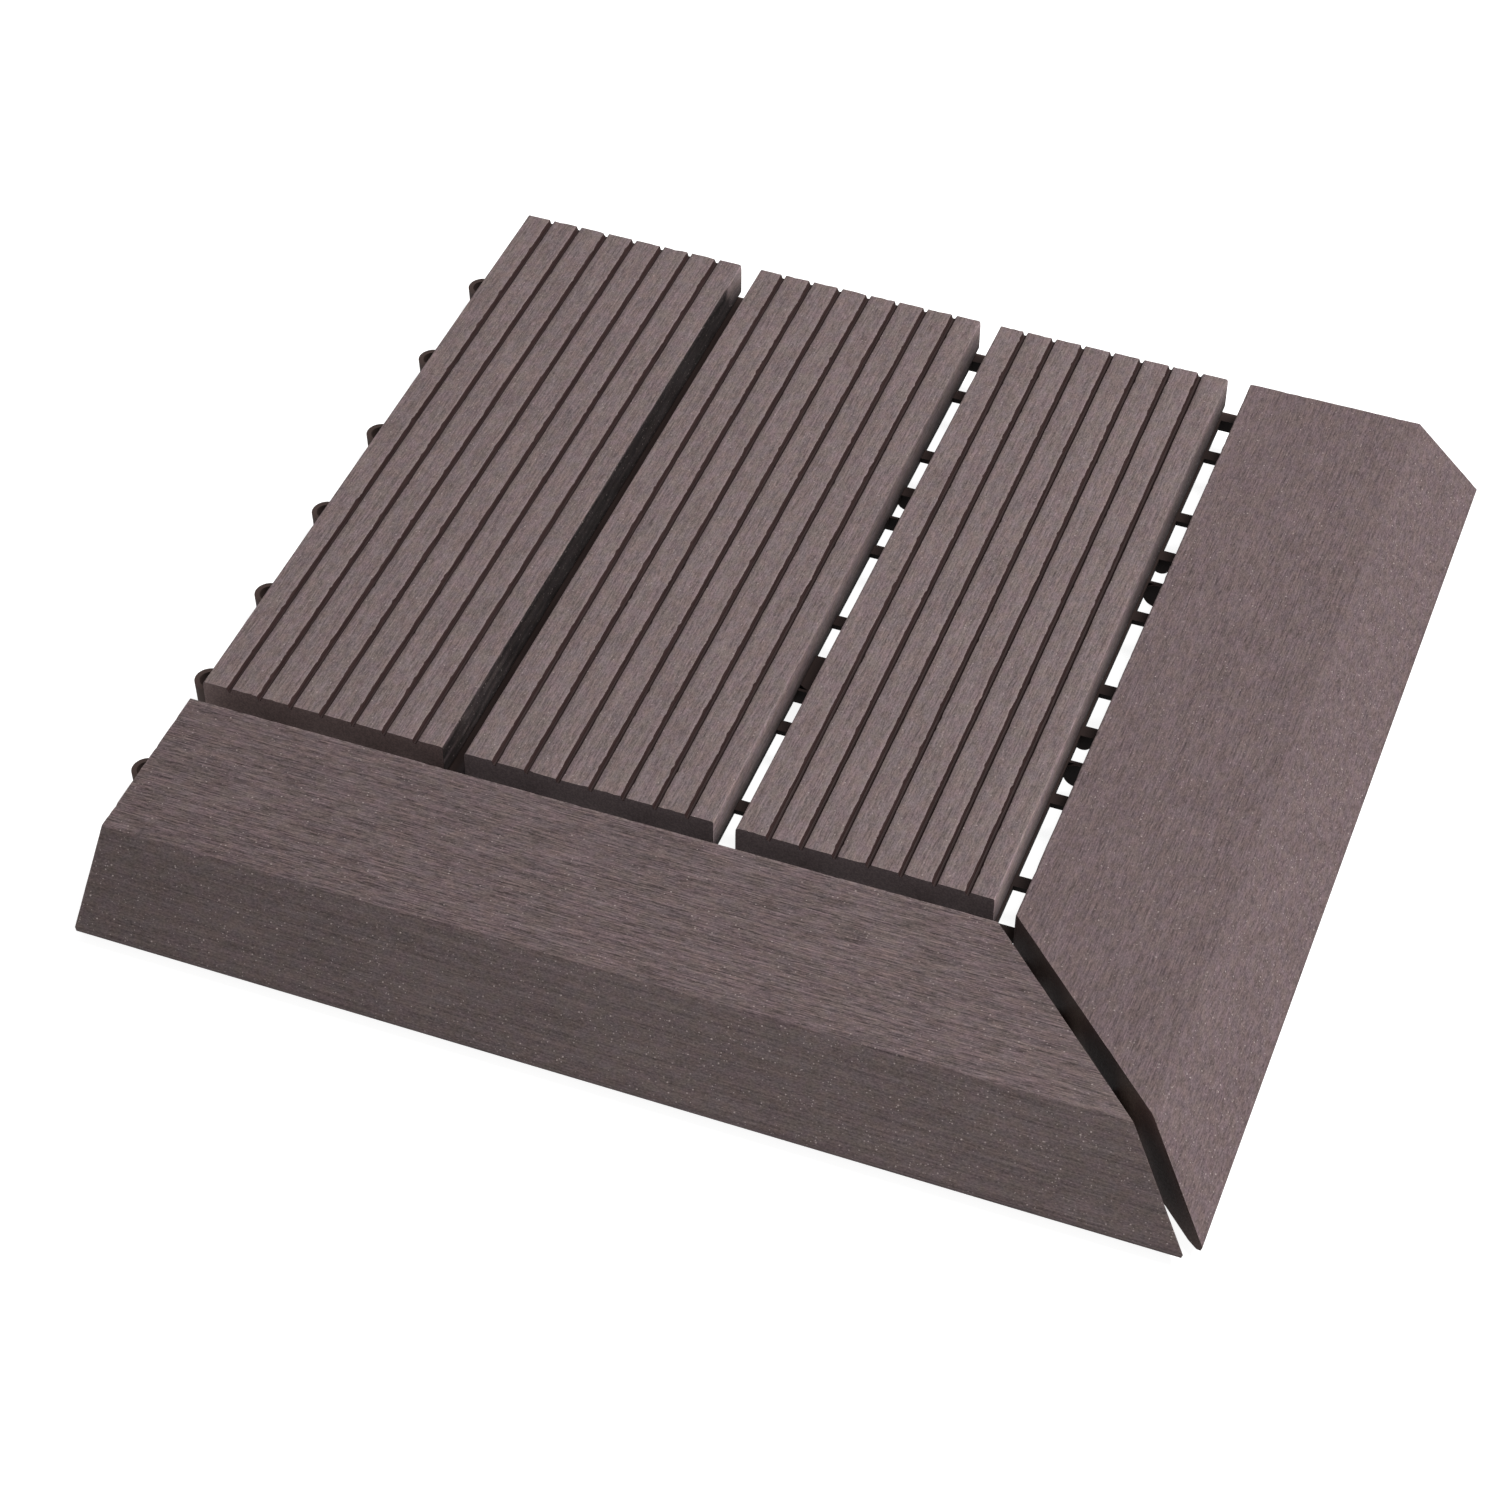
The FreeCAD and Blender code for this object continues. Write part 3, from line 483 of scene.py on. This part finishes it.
def make_board(name, along_x, screws):
    rows = board_section()
    u0, z0, raw, edge = rows.T
    seed = 700 if along_x else 900
    a = np.linspace(-0.3, 205.0, 330)
    tail = np.linspace(0, 1, 121)[1:]
    s_end = START + u0 - MITRE
    n = len(a) + len(tail)
    m = len(u0)
    S = np.zeros((n, m))
    S[:len(a), :] = a[:, None]
    S[len(a):, :] = 205.0 + tail[:, None] * (s_end - 205.0)[None, :]
    U = np.repeat(u0[None, :], n, 0)
    Z = np.repeat(z0[None, :], n, 0)
    E = np.repeat(edge[None, :], n, 0)
    # inner top edge: sawn and brushed, so it wavers and has bites
    rim = np.where((u0 < 0.75) & (z0 > TOP - 1.2))[0]
    for i in rim:
        w = math.sin(math.pi * min(1.0, max(0.0, (z0[i] - TOP + 1.2) / 1.2)) * 0.5)
        U[:, i] += w * (0.07 + 0.08 * smooth_noise(seed + 1, S[:, i], 8.0, 3, 0.7) + nicks(seed + 2, S[:, i], 16, 0, 230, 0.24, 1.0))
    # the flat and the bevel: hardly seen unevenness of a brushed board
    for i in np.where((z0 > 4.4) & (u0 > 0.75) & (raw < 0.15))[0]:
        Z[:, i] -= 0.025 + 0.025 * smooth_noise(seed + 3000 + i, S[:, i], 9.0, 3, 0.6)
    # crease between flat and bevel wavers
    near = np.exp(-((u0 - FLAT) / 2.0) ** 2) * (z0 > TOP - 3)
    Z -= (near[None, :] * 0.05) * smooth_noise(seed + 9, S[:, 0], 25.0, 3, 0.6)[:, None]
    # ends
    high = np.clip((z0 - (TOP - 2.2 - np.clip(u0 - FLAT, 0, 30) * 0.9)) / 1.5, 0, 1) * (raw < 0.2)
    S[0, :] += (0.05 * (1 + smooth_noise(seed + 11, u0, 2.2, 3, 0.7)) + nicks(seed + 12, u0, 5, 0, 70, 0.25, 0.9)) * high
    S[-1, :] -= (0.04 * (1 + smooth_noise(seed + 13, u0, 2.2, 3, 0.7)) + nicks(seed + 14, u0, 4, 0, 70, 0.18, 0.9)) * high
    for row, v in ((0, 0.7), (-1, 0.7), (1, 0.25), (-2, 0.25)):
        E[row, :] = np.maximum(E[row, :], v * (raw < 0.2))
    if along_x:
        sh = Shell(name, lambda a, b, c: (a, -(START + b), c))
    else:
        sh = Shell(name, lambda a, b, c: (START + b, -a, c))
    slope = np.clip((u0 - FLAT) / 0.9, 0, 1) * (z0 > 4.0) * (raw < 0.15)
    if along_x:     # painted light: the outer half is painted a touch paler towards the mitre, its bevel darker at the end away from the mitre
        L = np.interp(S, [0, 220, 300], [0.985, 1.035, 1.03]) * (1 + slope[None, :] * np.interp(S, [0, 60, 210, 300], [-0.09, -0.03, 0.04, 0.02]))
    else:
        # painted light: the right board's bevel is painted a touch paler towards the mitre
        L = 1 + slope[None, :] * np.interp(S, [0, 210, 300], [-0.01, 0.02, 0.05])
    sh.grid(S, U, Z, raw[None, :], E, slope[None, :], np.where(raw[None, :] < 0.15, L, 1.0))
    b = sh.base
    poly = np.stack([u0, z0], 1)
    inner = [(x, z) for x in np.arange(1.5, 70, 1.5) for z in np.arange(1.5, TOP, 1.4)
             if inside(poly, (x, z)) and np.min(np.hypot(u0 - x, z0 - z)) > 1.0 and not (z < UNDER + 0.9 and x < 44)]
    step = np.random.default_rng(seed + 5)
    flat_of = lambda p: (p[1], p[2])
    ids = [b + i for i in range(m)]
    rim = sh.rim(ids, flat_of, 0.12, lambda x, z, s: (s, x, z), {"cut": 1.0})
    sh.fill(rim, flat_of, inner, lambda x, z: (-0.3 + 0.03 + 0.025 * float(step.uniform(-1, 1)), x, z), {"cut": 1.0})
    ids = [b + (n - 1) * m + i for i in range(m)]

    def face(x, z):
        # painted light: the mitre face is painted brighter in bands across it and towards its top, evening out the
        # shade cast on it through the lattice below; red, kept in slope, sets how far each band's skin colour leans
        # red
        u = (0, 5, 9, 14, 17, 21, 24.5, 28, 33, 38, 41, 44, 47, 50, 56, 62, 70)
        high = np.interp(x, u, (1.1, 1.1, 1.55, 1.75, 1.08, 1.6, 1.8, 1.12, 0.95, 0.8, 1.15, 1.35, 1.25, 1.07, 1.25, 1.4, 1.5))
        low = np.interp(x, u, (1.3, 0.8, 1.55, 1.5, 0.7, 2.1, 2.5, 0.6, 0.55, 0.65, 2.7, 2.5, 1.5, 0.75, 0.60, 0.82, 1.2))
        red = np.interp(x, u, (0.5, 0.5, 0.2, 0.2, 0.5, 0.1, 0.0, 0.5, 0.5, 0.35, 0.0, 0.0, 0.25, 0.5, 0.5, 0.5, 0.5))
        down = min(max((np.interp(x, [0, 46, 70], [TOP, TOP, 3.0]) - z) / 7.0, 0.0), 1.0)
        base = np.interp(z, [0.0, 8.0, 14.0, 18.0, 23.5], [1.6, 1.6, 1.6, 2.1, 2.7]) * np.interp(x, [0, 14, 24, 34, 44, 56, 70], [1.15, 1.1, 1.5, 1.05, 2.2, 1.3, 1.1])
        return {"raw": 1.0, "slope": float(red), "lift": float(base * (high + (low - high) * down))}

    rim = sh.rim(ids, flat_of, 0.12, lambda x, z, s: (START + x - MITRE, x, z), face)
    sh.fill(rim, flat_of, inner, lambda x, z: (START + x - MITRE - 0.03 + 0.012 * float(step.uniform(-1, 1)), x, z), face)
    if along_x:
        local = [(x, -y - START) for x, y in screws]
    else:
        local = [(-y, x - START) for x, y in screws]
    rings = [sh.hole(p, q) for p, q in local]
    first = [b + j * m for j in range(n)]
    last = [b + j * m + m - 1 for j in range(n)]
    mids = [(ss, uu) for ss in np.arange(5, 222, 12.0) for uu in np.arange(5, 44, 8.0)
            if all(math.hypot(ss - p, uu - q) > 3.2 for p, q in local)]
    sh.fill(first + last[::-1], lambda p: (p[0], p[1]), mids, lambda a, c: (a, c, UNDER), {"raw": 0.6}, rings)
    return sh.finish()


RIGHT = [(RIB[c], -RIB[r]) for c in "op" for r in ROWS] + [(RIB["p"], -RIB["o"])]
FRONT = [(RIB[r], -RIB[c]) for c in "op" for r in ROWS] + [(RIB["o"], -RIB["p"])]
for name, along, places in (("front_edge_board", True, FRONT), ("right_edge_board", False, RIGHT)):
    o = make_board("brushed_" + name, along, places)
    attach(o, "root")
    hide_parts(name)
BOARDS = [bpy.data.objects["brushed_" + n] for n in ("front_edge_board", "right_edge_board")]


# ------------------------------------------------------------------ materials
class Net:
    """Short hand for building a node tree."""

    def __init__(self, name):
        self.mat = bpy.data.materials.new(name)
        self.mat.use_nodes = True
        self.t = self.mat.node_tree
        self.t.nodes.clear()
        self.out = self.t.nodes.new("ShaderNodeOutputMaterial")
        self.bsdf = self.t.nodes.new("ShaderNodeBsdfPrincipled")
        self.t.links.new(self.bsdf.outputs[0], self.out.inputs[0])

    def node(self, kind, **props):
        n = self.t.nodes.new(kind)
        for k, v in props.items():
            setattr(n, k, v)
        return n

    def link(self, a, b):
        self.t.links.new(a, b)

    def place(self, scale, turn=None):
        """Object coordinates scaled by (x, y, z) features per metre, turned first."""
        tc = self.node("ShaderNodeTexCoord")
        out = tc.outputs["Object"]
        if turn:
            first = self.node("ShaderNodeMapping")
            first.inputs["Rotation"].default_value = turn
            self.link(out, first.inputs["Vector"])
            out = first.outputs[0]
        mp = self.node("ShaderNodeMapping")
        mp.inputs["Scale"].default_value = scale
        self.link(out, mp.inputs["Vector"])
        return mp.outputs[0]

    def noise(self, scale, detail=2.0, rough=0.5, distort=0.0, turn=None):
        n = self.node("ShaderNodeTexNoise", noise_dimensions="3D")
        n.inputs["Scale"].default_value = 1.0
        n.inputs["Detail"].default_value = detail
        n.inputs["Roughness"].default_value = rough
        n.inputs["Distortion"].default_value = distort
        self.link(self.place(scale, turn), n.inputs["Vector"])
        return n.outputs["Fac"]

    def ramp(self, source, lo, hi, to_lo=0.0, to_hi=1.0):
        n = self.node("ShaderNodeMapRange", interpolation_type="SMOOTHSTEP")
        n.inputs["From Min"].default_value = lo
        n.inputs["From Max"].default_value = hi
        n.inputs["To Min"].default_value = to_lo
        n.inputs["To Max"].default_value = to_hi
        self.link(source, n.inputs["Value"])
        return n.outputs[0]

    def math(self, op, a, b=None):
        n = self.node("ShaderNodeMath", operation=op)
        for k, v in enumerate((a, b)):
            if v is None:
                continue
            if isinstance(v, (int, float)):
                n.inputs[k].default_value = v
            else:
                self.link(v, n.inputs[k])
        return n.outputs[0]

    def mix(self, fac, a, b, blend="MIX"):
        n = self.node("ShaderNodeMix", data_type="RGBA", blend_type=blend)
        for key, v in ((0, fac), (6, a), (7, b)):
            if isinstance(v, (int, float)):
                n.inputs[key].default_value = v
            elif isinstance(v, tuple):
                n.inputs[key].default_value = (*v, 1.0) if len(v) == 3 else v
            else:
                self.link(v, n.inputs[key])
        return n.outputs[2]

    def attribute(self, name):
        n = self.node("ShaderNodeAttribute", attribute_name=name)
        return n.outputs["Fac"]

    def bump(self, height, mm, under=None, strength=1.0):
        n = self.node("ShaderNodeBump")
        n.inputs["Strength"].default_value = strength
        n.inputs["Distance"].default_value = mm / 1000.0
        self.link(height, n.inputs["Height"])
        if under is not None:
            self.link(under, n.inputs["Normal"])
        return n.outputs[0]


def composite(name, axis, tone, marks, fibre, flecks=(0.8, 1.0), bevel=(0.12, 0.14), bevel_tone=(1.0, 1.0, 1.0), bevel_turn=None, thin=0.44, hues=1.0):
    """Brushed wood-plastic.  axis 0 or 1 is the board's length; marks is how strong the
    short dark brush marks are, fibre how strong the long and short fine lines are, flecks
    how strong the pale flecks are on the top and on a bevel.  A bevelled face (attribute
    slope) is brushed on its own, with `bevel` lines and grain and a tone of its own.
    thin is the width of a line and hues the scatter between warm and cool."""
    w = Net(name)

    def sc(across, along):
        s = [1000.0 / across] * 3
        s[axis] = 1000.0 / along
        return tuple(s)

    def var(source, gain):
        """Noise of mean 0.5 as a deviation of about `gain` (relative)."""
        return w.math("MULTIPLY", w.math("SUBTRACT", source, 0.5), gain / 0.115)

    slope = w.attribute("slope")
    lines = w.noise(sc(thin, 11.0), 2.0, 0.5)
    short = w.noise(sc(0.46, 2.6), 2.0, 0.6, 0.2)
    grain = w.noise(sc(0.36, 0.70), 1.5, 0.6)
    patch = w.noise(sc(9.0, 20.0), 2.0, 0.55)
    cloud = w.noise(sc(2.6, 4.5), 2.0, 0.55)
    tint = w.noise(sc(3.2, 5.5), 2.0, 0.6)
    bevel_lines = w.noise(sc(0.55, 5.0), 2.0, 0.55, 0.0, bevel_turn) if bevel_turn else w.noise(sc(0.48, 30.0), 1.5, 0.5)

    # brightness: long and short fibre lines, grain, soft clouds
    flat_var = w.math("ADD", w.math("ADD", var(lines, fibre[0]), var(short, fibre[1])), var(grain, 0.140))
    bevel_var = w.math("ADD", var(bevel_lines, bevel[0]), var(grain, bevel[1]))
    deviation = w.math("ADD", w.math("MULTIPLY", flat_var, w.math("SUBTRACT", 1.0, slope)), w.math("MULTIPLY", bevel_var, slope))
    deviation = w.math("ADD", deviation, var(cloud, 0.035))
    deviation = w.math("ADD", deviation, var(patch, 0.025))
    level = w.math("MAXIMUM", w.math("ADD", deviation, 1.0), 0.35)
    # painted light and shade: the per-vertex brightness factor scales the brushed colour
    level = w.math("MULTIPLY", level, w.attribute("lift"))

    base = tuple(v * k for v, k in zip((0.1170, 0.0885, 0.0890), tone))
    warm = tuple(v * (1 + k * hues) for v, k in zip(base, (0.027, -0.015, -0.008)))
    cool = tuple(v * (1 + k * hues) for v, k in zip(base, (-0.027, 0.015, 0.003)))
    c = w.mix(w.ramp(tint, 0.34, 0.66), cool, warm)
    blue = w.noise(sc(2.8, 4.0), 2.0, 0.6)
    c = w.mix(1.0, c, w.mix(w.ramp(blue, 0.34, 0.66), (0.995, 1.0, 0.955), (1.0, 0.998, 1.045)), "MULTIPLY")
    c = w.mix(slope, c, w.mix(1.0, c, bevel_tone, "MULTIPLY"))
    n = w.node("ShaderNodeVectorMath", operation="SCALE")
    w.link(c, n.inputs[0])
    w.link(level, n.inputs["Scale"])
    c = n.outputs[0]

    # short dark brush marks, gathered in places
    where = w.ramp(w.noise(sc(3.5, 9.0), 1.0, 0.5), 0.34, 0.62, 0.45, 1.0)
    streak = w.noise(sc(0.48, 6.0), 2.0, 0.55, 0.25, (0.0, 0.0, 0.05 if axis else -0.06))
    mark = w.math("MULTIPLY", w.ramp(streak, 0.445, 0.30), where)
    mark = w.math("MULTIPLY", mark, w.math("MULTIPLY", w.math("SUBTRACT", 1.0, w.math("MULTIPLY", slope, 0.8)), marks))
    c = w.mix(mark, c, tuple(v * k for v, k in zip((0.036, 0.025, 0.025), tone)))
    # pale flecks of wood flour
    v = w.node("ShaderNodeTexVoronoi", voronoi_dimensions="3D", feature="F1")
    v.inputs["Scale"].default_value = 1.0
    v.inputs["Randomness"].default_value = 1.0
    w.link(w.place(sc(0.95, 1.15)), v.inputs["Vector"])
    sep = w.node("ShaderNodeSeparateColor")
    w.link(v.outputs["Color"], sep.inputs[0])
    size = w.ramp(sep.outputs[0], 0.25, 1.0, 0.0, 0.25)
    fleck = w.ramp(w.math("SUBTRACT", v.outputs["Distance"], size), 0.03, -0.09)
    force = w.math("MULTIPLY", w.ramp(sep.outputs[1], 0.2, 1.0, 0.05, 0.60), w.math("ADD", flecks[0], w.math("MULTIPLY", slope, flecks[1] - flecks[0])))
    c = w.mix(w.math("MULTIPLY", fleck, force), c, (0.30, 0.25, 0.24))
    # and much finer ones between them
    v = w.node("ShaderNodeTexVoronoi", voronoi_dimensions="3D", feature="F1")
    v.inputs["Scale"].default_value = 1.0
    v.inputs["Randomness"].default_value = 1.0
    w.link(w.place(sc(0.50, 0.62)), v.inputs["Vector"])
    sep = w.node("ShaderNodeSeparateColor")
    w.link(v.outputs["Color"], sep.inputs[0])
    size = w.ramp(sep.outputs[0], 0.55, 1.0, 0.0, 0.36)
    fleck = w.ramp(w.math("SUBTRACT", v.outputs["Distance"], size), 0.03, -0.09)
    force = w.math("MULTIPLY", w.ramp(sep.outputs[1], 0.3, 1.0, 0.0, 0.55), w.math("ADD", flecks[0] * 0.5, w.math("MULTIPLY", slope, flecks[1] - flecks[0] * 0.5)))
    c = w.mix(w.math("MULTIPLY", fleck, force), c, (0.28, 0.235, 0.23))

    # skins: the plain extruded skin in grooves and below, its dark colour partly real skin and partly painted shade,
    # the sawn ends, worn edges; skin and sawn ends are scaled by the per-vertex brightness factor, which paints light
    # and shade
    raw, cut, edge = w.attribute("raw"), w.attribute("cut"), w.attribute("edge")
    skin = w.mix(slope, w.mix(w.ramp(lines, 0.35, 0.65), (0.013, 0.0100, 0.0090), (0.019, 0.0150, 0.0130)),
                 w.mix(w.ramp(lines, 0.35, 0.65), (0.0246, 0.0132, 0.0128), (0.0330, 0.0186, 0.0179)))
    lit = w.node("ShaderNodeVectorMath", operation="SCALE")
    w.link(skin, lit.inputs[0])
    w.link(w.attribute("lift"), lit.inputs["Scale"])
    c = w.mix(raw, c, lit.outputs[0])
    sawn_n = w.noise((1000 / 0.5,) * 3, 3.0, 0.65)
    sawn = w.mix(w.ramp(sawn_n, 0.35, 0.7), w.mix(slope, (0.100, 0.078, 0.080), (0.104, 0.074, 0.071)),
                 w.mix(slope, (0.150, 0.117, 0.119), (0.156, 0.111, 0.106)))
    ends = w.node("ShaderNodeVectorMath", operation="SCALE")
    w.link(sawn, ends.inputs[0])
    w.link(w.attribute("lift"), ends.inputs["Scale"])
    c = w.mix(w.ramp(cut, 0.0, 1.0), c, ends.outputs[0])
    worn = w.math("MULTIPLY", w.ramp(edge, 0.1, 1.0, 0.0, 0.5), w.ramp(w.noise((1000 / 1.1,) * 3, 3.0, 0.7), 0.42, 0.62))
    c = w.mix(worn, c, (0.19, 0.15, 0.15))
    w.link(c, w.bsdf.inputs["Base Color"])

    rough = w.ramp(short, 0.3, 0.7, 0.62, 0.76)
    rough = w.math("SUBTRACT", rough, w.math("MULTIPLY", raw, 0.12))
    w.link(rough, w.bsdf.inputs["Roughness"])
    w.bsdf.inputs["IOR"].default_value = 1.47
    w.bsdf.inputs["Specular IOR Level"].default_value = 0.18

    n1 = w.bump(lines, 0.06, None, 0.5)
    n2 = w.bump(short, 0.08, n1, 0.5)
    n3 = w.bump(grain, 0.04, n2, 0.5)
    w.link(n3, w.bsdf.inputs["Normal"])
    return w.mat


def moulded(name):
    """Black moulded plastic: low sheen, faint flow marks, a fine spark-eroded texture. Faces that look up are a little
    dusty; the lattice's sideways faces under the boards are painted near black, as painted shade, and the loops
    outside the lattice paler, as painted light."""
    w = Net(name)
    flow = w.noise((1000 / 9.0, 1000 / 22.0, 1000 / 6.0), 2.0, 0.5)
    fine = w.noise((1000 / 0.25,) * 3, 3.0, 0.6)
    dust = w.noise((1000 / 1.3,) * 3, 4.0, 0.7)
    c = w.mix(w.ramp(flow, 0.3, 0.7), (0.0190, 0.0115, 0.0105), (0.0260, 0.0160, 0.0145))
    c = w.mix(w.ramp(dust, 0.6, 0.78, 0.0, 0.30), c, (0.042, 0.031, 0.028))
    geo, tc = w.node("ShaderNodeNewGeometry"), w.node("ShaderNodeTexCoord")
    facing, at = w.node("ShaderNodeSeparateXYZ"), w.node("ShaderNodeSeparateXYZ")
    w.link(geo.outputs["Normal"], facing.inputs[0])
    w.link(tc.outputs["Object"], at.inputs[0])
    sideways = w.ramp(facing.outputs["Z"], 0.8, 0.3)
    within = w.math("MULTIPLY", w.ramp(at.outputs["X"], (OX - 0.4) / 1000, (OX + 1.2) / 1000), w.ramp(at.outputs["Y"], (OY + 0.4) / 1000, (OY - 1.2) / 1000))
    # painted shade: sideways faces of the lattice under the boards are painted near black
    c = w.mix(w.math("MULTIPLY", sideways, within), c, (0.0085, 0.0058, 0.0054))
    c = w.mix(w.math("MULTIPLY", 0.85, w.math("SUBTRACT", 1.0, within)), c, (0.060, 0.041, 0.037))     # the loops catch the light
    # painted light: the small plate at the front of the first gap is painted paler towards the middle slat, where it
    # sits in shade
    plate_painted_light = w.math("MULTIPLY", w.ramp(at.outputs["X"], (OX + 70.8) / 1000, (OX + 75.2) / 1000), w.ramp(at.outputs["X"], (OX + 78.0) / 1000, (OX + 77.0) / 1000))
    plate_painted_light = w.math("MULTIPLY", plate_painted_light, w.ramp(at.outputs["Y"], (OY - 205.5) / 1000, (OY - 212.5) / 1000))
    c = w.mix(plate_painted_light, c, (0.110, 0.088, 0.094))
    w.link(c, w.bsdf.inputs["Base Color"])
    w.link(w.ramp(flow, 0.3, 0.7, 0.52, 0.64), w.bsdf.inputs["Roughness"])
    w.bsdf.inputs["Specular IOR Level"].default_value = 0.13
    w.bsdf.inputs["IOR"].default_value = 1.49
    w.link(w.bump(fine, 0.03, w.bump(flow, 0.12, None, 0.4), 0.5), w.bsdf.inputs["Normal"])
    return w.mat


def plated(name):
    """Zinc-plated steel: dull bright metal with a slightly mottled skin."""
    w = Net(name)
    a = w.noise((1000 / 1.4,) * 3, 3.0, 0.6)
    b = w.noise((1000 / 0.3,) * 3, 2.0, 0.5)
    c = w.mix(w.ramp(a, 0.3, 0.7), (0.52, 0.51, 0.48), (0.68, 0.67, 0.62))
    w.link(c, w.bsdf.inputs["Base Color"])
    w.bsdf.inputs["Metallic"].default_value = 1.0
    w.link(w.ramp(a, 0.3, 0.7, 0.26, 0.42), w.bsdf.inputs["Roughness"])
    w.link(w.bump(b, 0.02, None, 0.4), w.bsdf.inputs["Normal"])
    return w.mat


def wear(obj, mat):
    obj.data.materials.clear()
    obj.data.materials.append(mat)


# painted shade: the edge boards get darker tones than the slats, darkest on the front board, standing in for the
# brushed grain's sheen that changes with how the grain runs to the light; bevel_tone tints their bevels for the colour
# of the shade on them
slat_mat = composite("brushed_composite_slat", 1, (1.02, 1.02, 1.02), 0.50, (0.12, 0.125), (1.0, 1.0), hues=0.85)
front_mat = composite("brushed_composite_front", 0, (0.735, 0.71, 0.715), 0.85, (0.26, 0.195), (1.1, 1.55), (0.115, 0.165),
                      (1.012, 1.055, 1.035), None, 0.38, 0.8)
right_mat = composite("brushed_composite_right", 1, (0.825, 0.785, 0.805), 0.65, (0.125, 0.145), (1.1, 1.35), (0.155, 0.15),
                      (1.01, 1.012, 1.015), (0.0, math.radians(44.1), math.radians(10.0)), 0.38, 0.5)
for o in SLATS:
    wear(o, slat_mat)
wear(BOARDS[0], front_mat)
wear(BOARDS[1], right_mat)

base_mat = moulded("moulded_black")
steel_mat = plated("zinc_plated")
for name, node in frame["nodes"].items():
    if name == "base_grid":
        node.data.materials.clear()
        node.data.materials.append(base_mat)
    elif name.endswith("_screws"):
        node.data.materials.clear()
        node.data.materials.append(steel_mat)


# ------------------------------------------------------------------ stage and light
def make_floor():
    me = bpy.data.meshes.new("floor")
    r = 6.0
    me.from_pydata([(-r, -r, 0), (r, -r, 0), (r, r, 0), (-r, r, 0)], [], [(0, 1, 2, 3)])
    o = bpy.data.objects.new("floor", me)
    bpy.context.scene.collection.objects.link(o)
    o.location.z = -0.0003
    w = Net("floor_white")
    w.bsdf.inputs["Base Color"].default_value = (0.38, 0.38, 0.38, 1)
    w.bsdf.inputs["Roughness"].default_value = 0.8
    w.bsdf.inputs["Specular IOR Level"].default_value = 0.1
    w.bsdf.inputs["Emission Color"].default_value = (1, 1, 1, 1)
    w.bsdf.inputs["Emission Strength"].default_value = 0.90
    # seen from beneath, the floor is clear
    geo = w.node("ShaderNodeNewGeometry")
    clear, both = w.node("ShaderNodeBsdfTransparent"), w.node("ShaderNodeMixShader")
    w.link(geo.outputs["Backfacing"], both.inputs[0])
    w.link(w.bsdf.outputs[0], both.inputs[1])
    w.link(clear.outputs[0], both.inputs[2])
    w.link(both.outputs[0], w.out.inputs[0])
    me.materials.append(w.mat)
    o.visible_glossy = False


make_floor()


def area(name, at, toward, size, power, colour=(1, 1, 1)):
    li = bpy.data.lights.new(name, "AREA")
    li.shape = "DISK"
    li.size = size
    li.energy = power
    li.color = colour
    o = bpy.data.objects.new(name, li)
    bpy.context.scene.collection.objects.link(o)
    o.location = at
    d = Vector(toward) - Vector(at)
    o.rotation_euler = d.to_track_quat("-Z", "Y").to_euler()
    return o


key_dir = Vector((0.50, 0.286, 1.0)).normalized()
area("key", key_dir * 2.0, (0, 0, 0), 1.1, 62.0, (1.0, 0.985, 0.97))

world = bpy.data.worlds.new("studio")
world.use_nodes = True
bpy.context.scene.world = world
bg = world.node_tree.nodes["Background"]
bg.inputs[0].default_value = (1.0, 1.0, 1.0, 1)
bg.inputs[1].default_value = 0.34
